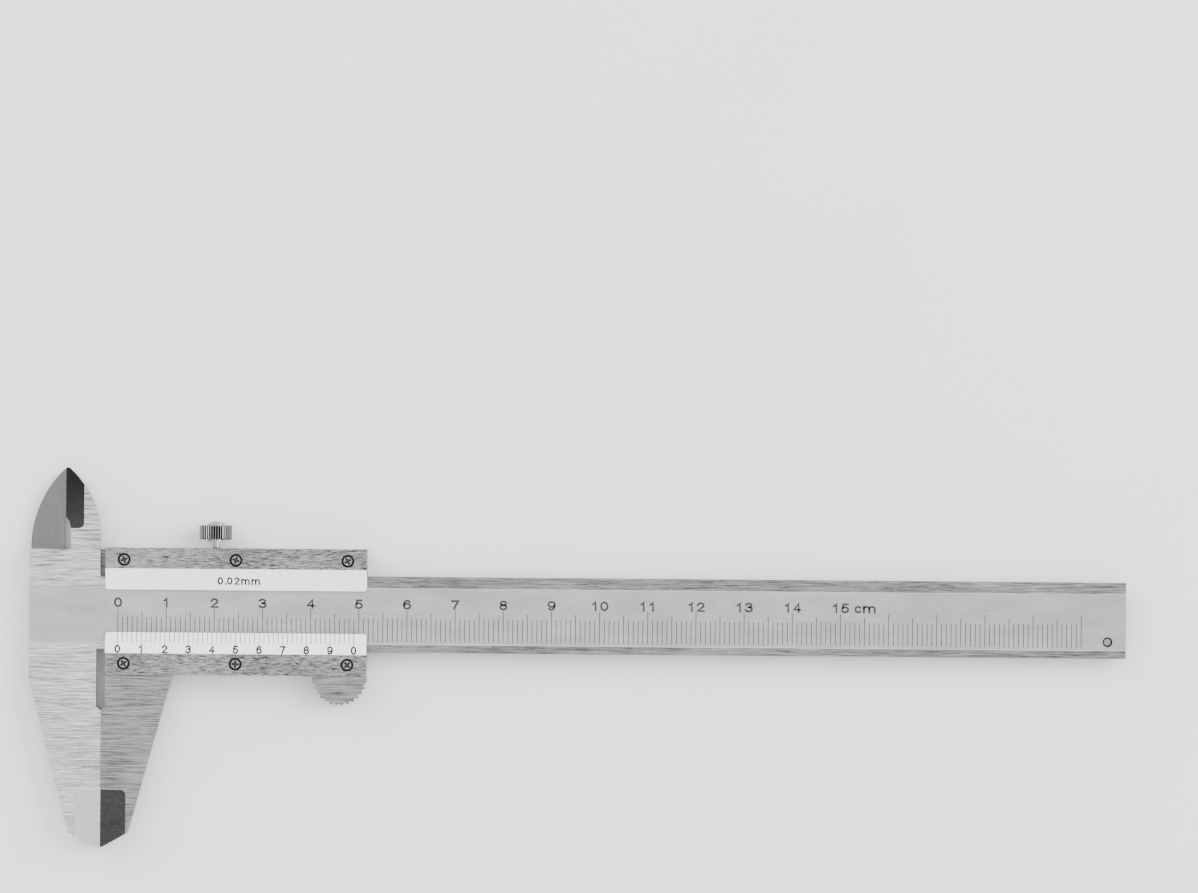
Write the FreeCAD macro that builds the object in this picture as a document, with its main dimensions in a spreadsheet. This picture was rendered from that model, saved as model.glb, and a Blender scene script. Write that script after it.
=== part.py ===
import FreeCAD, Part

import os
import re

import Sketcher
from FreeCAD import Placement, Rotation, Vector

# A 150 mm vernier caliper that reads to 0.02 mm, lying on the back of its slider with the scale
# face up. While it is modelled, x = 0 is the plane where the closed outer jaws meet, y = 0 is the
# centre line of the beam, y > 0 is the side of the inner jaws, and z = 0 is the slider's back.
# Each sub-part's Placement then moves it, so that the origin is under the centre of the whole.

# Driving dimensions in millimetres: name, value, meaning.
SIZES = [
    # beam with the fixed jaws
    ("beam_end", 212.7, "contact plane to the free end of the beam"),
    ("beam_half", 7.9, "half the height of the beam"),
    ("beam_thick", 3.2, "thickness of the beam and of the outer jaws"),
    ("beam_edge", 0.25, "chamfer on the long edges of the beam"),
    ("band_half", 5.78, "half the height of the sunk scale band"),
    ("band_low", 0.37, "how far the band's middle lies below the centre line"),
    ("band_depth", 0.1, "depth of the scale band"),
    ("fixed_width", 15.0, "width of the fixed jaw beside the contact plane"),
    ("shoulder_y", 13.0, "shoulder under the sliding inner jaw"),
    ("knee_y", 14.0, "where the fixed outer jaw starts to taper"),
    ("fixed_toe_x", 6.6, "half width of the fixed jaw's toe"),
    ("toe_y", 45.7, "where the outer jaws turn to their tips"),
    ("tip_y", 48.8, "reach of the outer jaws"),
    ("tip_flat", 0.9, "blunt end of each outer jaw"),
    ("fixed_tip_slant", 0.1, "slant of the fixed outer jaw's blunt end"),
    ("sliding_tip_slant", 0.3, "slant of the sliding outer jaw's blunt end"),
    ("over_cut", 1.0, "how far cutting outlines run past the metal"),
    ("relief_y", 20.4, "start of the measuring faces of the outer jaws"),
    ("relief_slant", 0.9, "height of the slant above the measuring faces"),
    ("fixed_relief", 1.0, "relief behind the fixed measuring face"),
    ("jaw_gap", 0.01, "light gap between the closed outer jaws"),
    ("lower_notch_depth", 0.4, "undercut in the beam's lower edge at the jaw"),
    ("upper_notch_depth", 0.52, "undercut in the beam's upper edge at the jaw"),
    ("notch_reach", 2.2, "length of the undercuts along the beam"),
    ("upper_notch_x", 0.3, "fixed inner jaw's right-hand wall"),
    ("upper_notch_round", 0.7, "rounding at the foot of that wall"),
    ("outer_bevel_y", 36.8, "start of the thinned tips of the outer jaws"),
    ("outer_bevel_wide", 5.3, "width of the thinned tips"),
    ("outer_bevel_angle", 12.8, "slope of each of their flats in degrees"),
    # inner jaws
    ("inner_line", 7.67, "measuring line of the inner jaws"),
    ("inner_tip_y", 30.05, "reach of the inner jaws"),
    ("fixed_arc_y", 15.0, "foot of the fixed inner jaw's round flank"),
    ("fixed_arc_size", 18.84, "radius of the fixed inner jaw's flank"),
    ("fixed_tip_wide", 0.7, "blunt tip of the fixed inner jaw"),
    ("slot_right", 6.4, "right wall of the relief slot"),
    ("slot_slant_y", 16.9, "where the slot's right wall starts to slant"),
    ("slot_bend_x", 7.0, "bend in the slant of the relief slot"),
    ("slot_bend_y", 19.0, "height of that bend"),
    ("slot_top_y", 19.9, "top of the relief slot"),
    ("slot_left", 7.96, "sliding inner jaw's wall of the relief slot"),
    ("slot_round", 0.6, "round corner of the relief slot"),
    ("fixed_bevel_x", 3.73, "start of the fixed inner jaw's front bevel"),
    ("fixed_bevel_y", 17.4, "lower end of that bevel"),
    ("fixed_bevel_angle", 33.0, "slope of that bevel in degrees"),
    ("sliding_arc_x", 14.9, "left flank of the sliding inner jaw"),
    ("sliding_arc_y", 13.4, "foot of the sliding inner jaw's round flank"),
    ("sliding_arc_size", 22.7, "radius of the sliding inner jaw's flank"),
    ("sliding_tip_wide", 0.23, "blunt tip of the sliding inner jaw"),
    ("sliding_tip_y", 29.8, "reach of the sliding inner jaw"),
    ("sliding_bevel_x", 11.2, "start of the sliding inner jaw's back bevel"),
    ("sliding_bevel_angle", 23.0, "slope of that bevel in degrees"),
    ("arm_top", 12.95, "upper edge of the arm to the sliding inner jaw"),
    ("arm_low", 3.2, "lower edge of that arm"),
    ("bevel_round", 1.1, "round corner of the ground bevels"),
    # slider
    ("slider_left", 0.86, "left end of the slider"),
    ("slider_right", 55.1, "right end of the slider"),
    ("slider_top", 13.5, "upper edge of the slider"),
    ("slider_low", 12.85, "lower edge of the slider"),
    ("back_thick", 2.05, "back plate of the slider"),
    ("run_gap", 0.05, "running gap around the beam"),
    ("wall_foot", 8.9, "inner face of the upper wall"),
    ("cover_thick", 1.5, "cover plates"),
    ("cover_low", 4.8, "free edge of the upper cover plate"),
    ("cover_bend", 9.2, "start of the upper plate's bevel"),
    ("vernier_top", 4.05, "free edge of the vernier plate"),
    ("vernier_bend", 8.4, "start of the vernier plate's bevel"),
    ("cover_drop", 1.15, "what the bevels take off at the free edges"),
    ("cover_round", 0.6, "round corners at the free edges"),
    ("sliding_jaw_x", 14.85, "sliding jaw's right edge at the slider"),
    ("sliding_toe_x", 5.8, "half width of the sliding jaw's toe"),
    ("jaw_root_round", 1.0, "fillet between the sliding jaw and the slider"),
    ("outline_round", 0.8, "rounding of the jaws' outer corners"),
    ("part_edge", 0.15, "broken edges"),
    # thumb pad
    ("pad_x", 49.5, "centre of the thumb pad"),
    ("pad_y", 13.3, "centre of the thumb pad, below the beam"),
    ("pad_size", 5.65, "radius of the thumb pad"),
    ("wall_root", 1.0, "how far the pad and the sliding jaw reach into the lower wall"),
    ("notch_size", 0.42, "radius of the notches between its teeth"),
    ("notch_count", 13, "number of notches"),
    ("notch_first", 195.6, "direction of the first notch in degrees"),
    ("notch_step", 12.4, "angle between notches in degrees"),
    # plate screws
    ("screw_first", 4.7, "first screw from the contact plane"),
    ("screw_step", 23.2, "spacing of the plate screws"),
    ("upper_screw_y", 11.05, "upper row of screws"),
    ("lower_screw_y", 10.5, "lower row of screws, below the beam"),
    ("head_size", 2.2, "diameter of a plate screw's head"),
    ("head_high", 0.75, "height of a plate screw's head"),
    ("head_crown", 0.22, "crown of a plate screw's head"),
    ("head_sink", 0.85, "depth of the head's counterbore"),
    ("sink_size", 2.7, "diameter of the counterbore"),
    ("thread_size", 1.6, "diameter of a plate screw's thread"),
    ("thread_long", 3.2, "length of a plate screw's thread"),
    ("cross_long", 1.5, "length of the cross recess"),
    ("cross_wide", 0.46, "width of the cross recess"),
    ("cross_deep", 0.4, "depth of the cross recess"),
    ("hole_gap", 0.03, "clearance round threads, on the radius"),
    # lock screw
    ("lock_x", 23.65, "place of the lock screw along the slider"),
    ("lock_size", 2.0, "diameter of the lock screw's thread"),
    ("lock_neck", 1.4, "diameter of its neck"),
    ("lock_collar_y", 14.9, "foot of the lower collar"),
    ("lock_collar", 3.3, "diameter of the lower collar"),
    ("lock_head_y", 15.3, "foot of the knurled head"),
    ("lock_head_top", 18.3, "top of the knurled head"),
    ("lock_head", 7.0, "diameter of the knurled head"),
    ("lock_head_edge", 0.25, "chamfers of the knurled head"),
    ("lock_dome", 3.8, "diameter of the domed top"),
    ("lock_dome_high", 0.8, "height of the domed top"),
    ("knurl_count", 42, "grooves of the knurl"),
    ("knurl_deep", 0.28, "depth of the knurl"),
    ("knurl_half", 0.32, "half width of the knurling tool"),
    # gib strip and its set screws
    ("gib_thick", 0.85, "gib strip"),
    ("gib_end_gap", 1.4, "free length at each end of the gib strip"),
    ("gib_screw_first", 12.0, "first set screw from the contact plane"),
    ("gib_screw_step", 31.0, "spacing of the set screws"),
    ("gib_screw_long", 4.2, "length of a set screw"),
    ("slot_wide", 0.4, "width of the screwdriver slots"),
    ("slot_deep", 0.6, "depth of the screwdriver slots"),
    # depth rod, its rivets and the stop screw
    ("groove_start", 42.0, "blind end of the depth rod's groove"),
    ("groove_mouth", 1.7, "half width of the groove at the beam's back"),
    ("groove_floor", 2.0, "half width of the groove at its floor"),
    ("groove_deep", 1.6, "depth of the groove"),
    ("rod_start", 43.4, "riveted end of the depth rod"),
    ("rod_cut_long", 5.0, "length of the step at the rod's tip"),
    ("rod_cut_deep", 1.4, "depth of that step"),
    ("rivet_first", 46.0, "first rivet from the contact plane"),
    ("rivet_step", 5.0, "spacing of the rivets"),
    ("rivet_size", 1.5, "diameter of a rivet"),
    ("rivet_head", 2.4, "diameter of a rivet's head"),
    ("rivet_sink", 0.5, "depth of a rivet's countersink"),
    ("stop_x", 208.9, "stop screw along the beam"),
    ("stop_y", 4.45, "stop screw below the centre line"),
    ("stop_head", 3.8, "diameter of its head"),
    ("stop_head_high", 2.1, "height of its head, which reaches the rest plane"),
    ("stop_short", 0.7, "how far its end lies below the scale face"),
]

PARTS_FOLDER = "parts"
NAMES = {name for name, _, _ in SIZES}
TOP = "XY_Plane"
SIDE = "XZ_Plane"
END = "YZ_Plane"

# Tolerances of the edge tests in millimetres, and the length that a long edge has at least.
TOUCH = 0.001
NEAR = 0.01
LONG_EDGE = 5

# Turn of the screwdriver recesses in degrees: first of each row, step along it, stop screw.
UPPER_TURN = 20
LOWER_TURN = 35
TURN_STEP = 50
STOP_TURN = 25

# Levels that several sub-parts share, as expressions.
BEAM_BACK = "(back_thick + run_gap)"
BEAM_FRONT = "(back_thick + run_gap + beam_thick)"
COVER_BACK = "(back_thick + beam_thick + 2 * run_gap)"
COVER_FRONT = "(back_thick + beam_thick + 2 * run_gap + cover_thick)"
MID_LEVEL = "(back_thick + run_gap + beam_thick / 2)"

doc = FreeCAD.newDocument("vernier_caliper")


def make_sheet():
    """Spreadsheet with one named cell for each driving dimension."""
    table = doc.addObject("Spreadsheet::Sheet", "Sizes")
    for row, (name, value, meaning) in enumerate(SIZES, start=1):
        table.set(f"A{row}", name)
        table.set(f"B{row}", str(value))
        table.set(f"C{row}", meaning)
        table.setAlias(f"B{row}", name)
    doc.recompute()
    return table


sheet = make_sheet()


def linked(expression):
    """The expression with every dimension's name pointing at its cell."""
    return re.sub(
        r"[a-z_]\w*",
        lambda word: f"Sizes.{word[0]}" if word[0] in NAMES else word[0],
        str(expression),
    )


def size(expression):
    """The expression's value in millimetres."""
    return float(sheet.evalExpression(linked(expression)))


def bind(target, **expressions):
    """Bind properties of an object to the sheet."""
    for path, expression in expressions.items():
        target.setExpression(path.replace("__", "."), linked(expression))


# ---------------------------------------------------------------------------------- sketches


def new_body(name):
    """Body of a sub-part, placed in the frame of the whole."""
    body = doc.addObject("PartDesign::Body", name)
    body.Label = name
    bind(
        body,
        Placement__Base__x="(fixed_width - beam_end) / 2",
        Placement__Base__y="(tip_y - inner_tip_y) / 2",
    )
    return body


def new_sketch(body, name, plane=TOP, at=("0", "0", "0"), axis=None, angle="0"):
    """Sketch on one of the body's own origin planes, moved and turned by an offset."""
    sketch = body.newObject("Sketcher::SketchObject", f"{body.Name}_{name}")
    own = [item for item in body.Origin.OriginFeatures if item.Role == plane][0]
    sketch.AttachmentSupport = [(own, "")]
    sketch.MapMode = "FlatFace"
    turn = Rotation(axis, size(angle)) if axis else Rotation()
    sketch.AttachmentOffset = Placement(Vector(*[size(item) for item in at]), turn)
    bind(
        sketch,
        AttachmentOffset__Base__x=at[0],
        AttachmentOffset__Base__y=at[1],
        AttachmentOffset__Base__z=at[2],
    )
    if axis:
        bind(sketch, AttachmentOffset__Rotation__Angle=angle)
    return sketch


def pin(sketch, geometry, vertex, x, y):
    """Tie a vertex to the sketch's origin by two driving distances."""
    for kind, expression in (("DistanceX", x), ("DistanceY", y)):
        number = sketch.addConstraint(
            Sketcher.Constraint(kind, -1, 1, geometry, vertex, size(expression))
        )
        sketch.setExpression(f"Constraints[{number}]", linked(expression))


def arc_between(start, end, radius, side):
    """Short arc from start to end; side is 1 to turn left on the way and -1 to turn right."""
    chord = end - start
    rise = max(0, radius**2 - (chord.Length / 2) ** 2) ** 0.5
    normal = Vector(-chord.y, chord.x, 0).normalize() * side
    centre = (start + end) / 2 + normal * rise
    first, last = (start, end) if side > 0 else (end, start)
    angles = [Vector(1, 0, 0).getAngle(p - centre) * (1 if p.y >= centre.y else -1)
              for p in (first, last)]
    return Part.ArcOfCircle(Part.Circle(centre, Vector(0, 0, 1), radius), *angles)


def outline(sketch, corners):
    """Closed outline: corners are (x, y), or (x, y, radius, side) where an arc leaves them."""
    points = [Vector(size(corner[0]), size(corner[1]), 0) for corner in corners]
    edges = []
    for index, corner in enumerate(corners):
        start, end = points[index], points[(index + 1) % len(points)]
        if len(corner) == 2:
            edges.append((sketch.addGeometry(Part.LineSegment(start, end), False), 1, 2))
            continue
        arc = sketch.addGeometry(arc_between(start, end, size(corner[2]), corner[3]), False)
        edges.append((arc, 1, 2) if corner[3] > 0 else (arc, 2, 1))
        number = sketch.addConstraint(Sketcher.Constraint("Radius", arc, size(corner[2])))
        sketch.setExpression(f"Constraints[{number}]", linked(corner[2]))
    for index, (edge, first, last) in enumerate(edges):
        following = edges[(index + 1) % len(edges)]
        sketch.addConstraint(Sketcher.Constraint("Coincident", edge, last, following[0], following[1]))
        pin(sketch, edge, first, corners[index][0], corners[index][1])


def circle(sketch, x, y, diameter):
    """Circle with a driving centre and diameter."""
    centre = Vector(size(x), size(y), 0)
    ring = sketch.addGeometry(
        Part.Circle(centre, Vector(0, 0, 1), size(diameter) / 2), False
    )
    number = sketch.addConstraint(Sketcher.Constraint("Diameter", ring, size(diameter)))
    sketch.setExpression(f"Constraints[{number}]", linked(diameter))
    pin(sketch, ring, 3, x, y)


def rectangle(left, low, right, top):
    """Corners of an upright rectangle for outline()."""
    return [(left, low), (right, low), (right, top), (left, top)]


# ---------------------------------------------------------------------------------- features


def pad(body, sketch, length, reverse=False):
    """Add the sketch's prism."""
    feature = body.newObject("PartDesign::Pad", f"{sketch.Name}_pad")
    feature.Profile = sketch
    feature.Reversed = reverse
    bind(feature, Length=length)
    doc.recompute()
    return feature


def pocket(body, sketch, length, reverse=False):
    """Cut the sketch's prism, against its normal unless reversed."""
    before = body.Shape.Volume
    feature = body.newObject("PartDesign::Pocket", f"{sketch.Name}_cut")
    feature.Profile = sketch
    feature.Reversed = reverse
    bind(feature, Length=length)
    doc.recompute()
    if not body.Shape.Volume < before:
        raise RuntimeError(f"{feature.Name} cuts nothing")
    return feature


def revolve(body, sketch, axis="V_Axis"):
    """Turn the sketch once round its own vertical or horizontal axis."""
    feature = body.newObject("PartDesign::Revolution", f"{sketch.Name}_turned")
    feature.Profile = sketch
    feature.ReferenceAxis = (sketch, [axis])
    feature.Angle = 360
    doc.recompute()
    return feature


def edge_names(shape, test):
    """Names of the edges that pass a test."""
    return [f"Edge{number}" for number, edge in enumerate(shape.Edges, start=1) if test(edge)]


def upright_at(*places):
    """Test for edges along z at given (x, y) places."""
    spots = [Vector(size(x), size(y), 0) for x, y in places]

    def test(edge):
        box = edge.BoundBox
        flat = Vector(box.Center.x, box.Center.y, 0)
        upright = box.XLength < TOUCH and box.YLength < TOUCH
        return upright and any((flat - spot).Length < NEAR for spot in spots)

    return test


def rim_at(level, keep=lambda box: True):
    """Test for edges that lie in the plane z = level."""
    height = size(level)

    def test(edge):
        box = edge.BoundBox
        return abs(box.ZMin - height) < TOUCH and abs(box.ZMax - height) < TOUCH and keep(box)

    return test


def dress(body, kind, name, test, **sizes):
    """Fillet or chamfer the edges of the body's tip that pass the test."""
    base = body.Tip
    names = edge_names(base.Shape, test)
    if not names:
        raise RuntimeError(f"{body.Label} {name} finds no edge")
    feature = body.newObject(f"PartDesign::{kind}", f"{body.Name}_{name}")
    feature.Base = (base, names)
    bind(feature, **sizes)
    doc.recompute()
    return feature


def grind(body, name, hinge, angle, corners, from_back=False):
    """Grind a sloping flat: corners lie in its plane, measured from the hinge line."""
    sketch = new_sketch(body, name, TOP, hinge, Vector(0, 1, 0), angle)
    outline(sketch, corners)
    return pocket(body, sketch, "beam_thick", reverse=not from_back)


def repeat_round(body, feature, axis, count, step=None):
    """Repeat a feature round an axis, over the full turn or with a given step."""
    pattern = body.newObject("PartDesign::PolarPattern", f"{feature.Name}_all")
    pattern.Originals = [feature]
    pattern.Axis = axis
    if step:
        pattern.Mode = "Spacing"
        bind(pattern, Offset=step)
    else:
        pattern.Angle = 360
    bind(pattern, Occurrences=count)
    body.Tip = pattern
    doc.recompute()
    return pattern


def place(body, x, y, level="0", turn=0):
    """Stand a turned piece, modelled round its own axis, at its place on the caliper."""
    body.Placement = Placement(Vector(), Rotation(Vector(0, 0, 1), turn))
    bind(
        body,
        Placement__Base__x=f"(fixed_width - beam_end) / 2 + {x}",
        Placement__Base__y=f"(tip_y - inner_tip_y) / 2 + {y}",
        Placement__Base__z=level,
    )
    return body


# ---------------------------------------------------------------------------------- sub-parts


def outer_jaw_flats(body, side):
    """Thin the tip of an outer jaw from both faces; side is -1 for the fixed jaw."""
    reach = f"{-side} * (outer_bevel_wide + over_cut)"
    corners = [
        (reach, "-tip_y - over_cut"),
        ("0", "-tip_y - over_cut"),
        ("0", "-outer_bevel_y - bevel_round", "bevel_round", side),
        (f"{-side} * bevel_round", "-outer_bevel_y"),
        (reach, "-outer_bevel_y"),
    ]
    hinge = f"{side} * outer_bevel_wide"
    grind(body, "front_flat", (hinge, "0", BEAM_FRONT), f"{-side} * outer_bevel_angle", corners)
    grind(body, "back_flat", (hinge, "0", BEAM_BACK), f"{side} * outer_bevel_angle", corners, True)


def main_beam():
    """Graduated beam with the fixed outer jaw and the fixed inner jaw in one piece."""
    body = new_body("main_beam")
    sketch = new_sketch(body, "outline", at=("0", "0", BEAM_BACK))
    outline(sketch, [
        ("beam_end", "-beam_half"),
        ("beam_end", "beam_half"),
        ("notch_reach", "beam_half"),
        ("notch_reach", "beam_half - upper_notch_depth"),
        ("-upper_notch_x", "beam_half - upper_notch_depth"),
        ("-upper_notch_x", "fixed_arc_y", "fixed_arc_size", 1),
        ("-inner_line + fixed_tip_wide", "inner_tip_y"),
        ("-inner_line", "inner_tip_y"),
        ("-inner_line", "slot_top_y"),
        ("-slot_bend_x", "slot_bend_y"),
        ("-slot_right", "slot_slant_y"),
        ("-slot_right", "shoulder_y + slot_round", "slot_round", -1),
        ("-slot_right - slot_round", "shoulder_y"),
        ("-fixed_width", "shoulder_y"),
        ("-fixed_width", "-knee_y"),
        ("-fixed_toe_x", "-toe_y"),
        ("-tip_flat", "-tip_y + fixed_tip_slant"),
        ("0", "-tip_y"),
        ("0", "-relief_y"),
        ("-fixed_relief", "-relief_y + relief_slant"),
        ("-fixed_relief", "-beam_half + lower_notch_depth"),
        ("notch_reach", "-beam_half + lower_notch_depth"),
        ("notch_reach", "-beam_half"),
    ])
    pad(body, sketch, "beam_thick")
    dress(
        body, "Fillet", "foot_round",
        upright_at(("-upper_notch_x", "beam_half - upper_notch_depth")),
        Radius="upper_notch_round",
    )
    dress(
        body, "Fillet", "corner_rounds",
        upright_at(("-fixed_width", "-knee_y"), ("-fixed_toe_x", "-toe_y")),
        Radius="outline_round",
    )
    for face, level in (("front", BEAM_FRONT), ("back", BEAM_BACK)):
        dress(
            body, "Chamfer", f"{face}_edges",
            rim_at(level, lambda box: box.XLength > size("beam_end") / 2),
            Size="beam_edge",
        )
    outer_jaw_flats(body, -1)
    grind(
        body, "inner_flat", ("-fixed_bevel_x", "0", BEAM_FRONT), "-fixed_bevel_angle",
        [
            ("0", "inner_tip_y + over_cut"),
            ("-2 * fixed_bevel_x", "inner_tip_y + over_cut"),
            ("-2 * fixed_bevel_x", "fixed_bevel_y"),
            ("-bevel_round", "fixed_bevel_y", "bevel_round", 1),
            ("0", "fixed_bevel_y + bevel_round"),
        ],
    )
    band = new_sketch(body, "scale_band", END, ("0", "0", "-fixed_width - over_cut"))
    outline(band, [
        ("-band_low - band_half", f"{BEAM_FRONT} - band_depth"),
        ("-band_low + band_half", f"{BEAM_FRONT} - band_depth"),
        ("-band_low + band_half + 2 * band_depth", f"{BEAM_FRONT} + band_depth"),
        ("-band_low - band_half - 2 * band_depth", f"{BEAM_FRONT} + band_depth"),
    ])
    pocket(body, band, "beam_end + fixed_width + 2 * over_cut", reverse=True)
    groove = new_sketch(body, "rod_groove", END, ("0", "0", "groove_start"))
    outline(groove, [
        ("-groove_mouth", f"{BEAM_BACK} - over_cut"),
        ("groove_mouth", f"{BEAM_BACK} - over_cut"),
        ("groove_mouth", BEAM_BACK),
        ("groove_floor", f"{BEAM_BACK} + groove_deep"),
        ("-groove_floor", f"{BEAM_BACK} + groove_deep"),
        ("-groove_mouth", BEAM_BACK),
    ])
    pocket(body, groove, "beam_end", reverse=True)
    hole = new_sketch(body, "stop_hole", at=("0", "0", BEAM_FRONT))
    circle(hole, "stop_x", "-stop_y", "lock_size + 2 * hole_gap")
    pocket(body, hole, "2 * beam_thick")
    return body


def slider_plan():
    """Outline of the slider's back plate with the arm and the sliding inner jaw."""
    return [
        ("slider_right", "-slider_low"),
        ("slider_right", "slider_top"),
        ("slider_left", "slider_top"),
        ("slider_left", "arm_top"),
        ("-slot_left", "arm_top"),
        ("-slot_left", "slot_top_y"),
        ("-inner_line", "slot_top_y"),
        ("-inner_line", "sliding_tip_y"),
        ("-inner_line - sliding_tip_wide", "sliding_tip_y", "sliding_arc_size", 1),
        ("-sliding_arc_x", "sliding_arc_y"),
        ("-sliding_arc_x", "arm_low"),
        ("slider_left", "arm_low"),
        ("slider_left", "-slider_low"),
    ]


def slider_frame():
    """Back plate, walls, sliding jaws and thumb pad in one piece."""
    body = new_body("slider_frame")
    sketch = new_sketch(body, "back_plate")
    outline(sketch, slider_plan())
    pad(body, sketch, "back_thick")
    dress(
        body, "Fillet", "arm_rounds",
        upright_at(("-sliding_arc_x", "arm_low"), ("slider_left", "arm_low")),
        Radius="jaw_root_round",
    )
    dress(
        body, "Chamfer", "back_edges",
        rim_at("0", lambda box: box.YLength + box.XLength > LONG_EDGE and box.YMin < size("arm_top")),
        Size="part_edge",
    )
    walls = new_sketch(body, "walls", at=("0", "0", "back_thick"))
    outline(walls, rectangle("slider_left", "wall_foot", "slider_right", "slider_top"))
    outline(walls, rectangle("slider_left", "-slider_low", "slider_right", "-beam_half - run_gap"))
    pad(body, walls, "beam_thick + 2 * run_gap")
    jaw = new_sketch(body, "outer_jaw", at=("0", "0", BEAM_BACK))
    outline(jaw, [
        ("sliding_jaw_x", "-slider_low + wall_root"),
        ("slider_left", "-slider_low + wall_root"),
        ("slider_left", "-relief_y + relief_slant"),
        ("jaw_gap", "-relief_y"),
        ("jaw_gap", "-tip_y"),
        ("tip_flat", "-tip_y + sliding_tip_slant"),
        ("sliding_toe_x", "-toe_y"),
        ("sliding_jaw_x", "-slider_low"),
    ])
    pad(body, jaw, "beam_thick")
    disc = new_sketch(body, "thumb_pad", at=("0", "0", BEAM_BACK))
    outline(disc, [
        ("pad_x - pad_size", "-pad_y", "pad_size", 1),
        ("pad_x + pad_size", "-pad_y"),
        ("slider_right - wall_root", "-slider_low + wall_root"),
        ("pad_x - pad_size + wall_root", "-slider_low + wall_root"),
    ])
    pad(body, disc, "beam_thick")
    dress(
        body, "Fillet", "toe_round", upright_at(("sliding_toe_x", "-toe_y")),
        Radius="outline_round",
    )
    outer_jaw_flats(body, 1)
    grind(
        body, "inner_flat", ("-sliding_bevel_x", "0", "0"), "-sliding_bevel_angle",
        [
            ("0", "inner_tip_y + over_cut"),
            ("0", "fixed_bevel_y + bevel_round", "bevel_round", 1),
            ("bevel_round", "fixed_bevel_y"),
            ("slot_bend_x", "fixed_bevel_y"),
            ("slot_bend_x", "inner_tip_y + over_cut"),
        ],
        from_back=True,
    )
    thumb_teeth(body)
    screw_holes(body)
    return body


def thumb_teeth(body):
    """Notches round the lower half of the thumb pad."""
    notch = new_sketch(body, "notch", at=("pad_x", "-pad_y", BEAM_FRONT))
    circle(
        notch,
        "pad_size * cos(notch_first * 1 deg)",
        "pad_size * sin(notch_first * 1 deg)",
        "2 * notch_size",
    )
    cut = pocket(body, notch, "beam_thick")
    repeat_round(body, cut, (notch, ["N_Axis"]), "notch_count", "notch_step")


def screw_holes(body):
    """Tapped holes in the walls and countersunk rivet holes in the back plate."""
    taps = new_sketch(body, "plate_taps", at=("0", "0", COVER_BACK))
    for number in range(3):
        along = f"screw_first + {number} * screw_step"
        circle(taps, along, "upper_screw_y", "thread_size + 2 * hole_gap")
        circle(taps, along, "-lower_screw_y", "thread_size + 2 * hole_gap")
    pocket(body, taps, "beam_thick")
    edge = new_sketch(body, "edge_taps", SIDE, ("0", "0", "-slider_top"))
    for along in ("lock_x", "gib_screw_first", "gib_screw_first + gib_screw_step"):
        circle(edge, along, MID_LEVEL, "lock_size + 2 * hole_gap")
    pocket(body, edge, "slider_top - wall_foot", reverse=True)
    rivets = new_sketch(body, "rivet_holes", at=("0", "0", "back_thick"))
    for number in range(2):
        along = f"rivet_first + {number} * rivet_step"
        circle(rivets, along, "0", "rivet_size + 2 * hole_gap")
    pocket(body, rivets, "back_thick")
    dress(
        body, "Chamfer", "rivet_sinks",
        rim_at("0", lambda box: box.XLength < size("rivet_head") and abs(box.Center.y) < NEAR),
        Size="rivet_sink",
    )


def cover_plate(name, free_edge, bend, outer_edge, screw_y):
    """Front plate with a bevel down to its free edge and three counterbored holes."""
    body = new_body(name)
    section = new_sketch(body, "section", END, ("0", "0", "slider_left"))
    outline(section, [
        (outer_edge, COVER_BACK),
        (outer_edge, COVER_FRONT),
        (bend, COVER_FRONT),
        (free_edge, f"{COVER_FRONT} - cover_drop"),
        (free_edge, COVER_BACK),
    ])
    pad(body, section, "slider_right - slider_left")
    dress(
        body, "Fillet", "free_corners",
        upright_at(("slider_left", free_edge), ("slider_right", free_edge)),
        Radius="cover_round",
    )
    dress(
        body, "Chamfer", "outer_edges",
        rim_at(COVER_FRONT, lambda box: abs(box.Center.y - size(bend)) > NEAR),
        Size="part_edge / 2",
    )
    for label, diameter, depth in (
        ("hole", "thread_size + 4 * hole_gap", "cover_thick"),
        ("sink", "sink_size", "head_sink"),
    ):
        sketch = new_sketch(body, label, at=("0", "0", COVER_FRONT))
        for number in range(3):
            circle(sketch, f"screw_first + {number} * screw_step", screw_y, diameter)
        pocket(body, sketch, depth)
    return body


def plate_screw(name, number, row_y, turn):
    """Cross-recessed screw with a crowned head."""
    body = new_body(name)
    seat = f"{COVER_FRONT} - head_sink"
    profile = new_sketch(body, "profile", SIDE)
    outline(profile, [
        ("0", f"{seat} - thread_long"),
        ("thread_size / 2", f"{seat} - thread_long"),
        ("thread_size / 2", seat),
        ("head_size / 2", seat),
        ("head_size / 2", f"{seat} + head_high - head_crown"),
        ("head_size / 2 - head_crown", f"{seat} + head_high"),
        ("0", f"{seat} + head_high"),
    ])
    revolve(body, profile)
    cross = new_sketch(body, "cross", at=("0", "0", f"{seat} + head_high"))
    far, near = "cross_long / 2", "cross_wide / 2"
    outline(cross, [
        (far, f"-{near}"), (far, near), (near, near), (near, far),
        (f"-{near}", far), (f"-{near}", near), (f"-{far}", near), (f"-{far}", f"-{near}"),
        (f"-{near}", f"-{near}"), (f"-{near}", f"-{far}"), (near, f"-{far}"), (near, f"-{near}"),
    ])
    pocket(body, cross, "cross_deep")
    return place(body, f"screw_first + {number} * screw_step", row_y, turn=turn)


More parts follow.
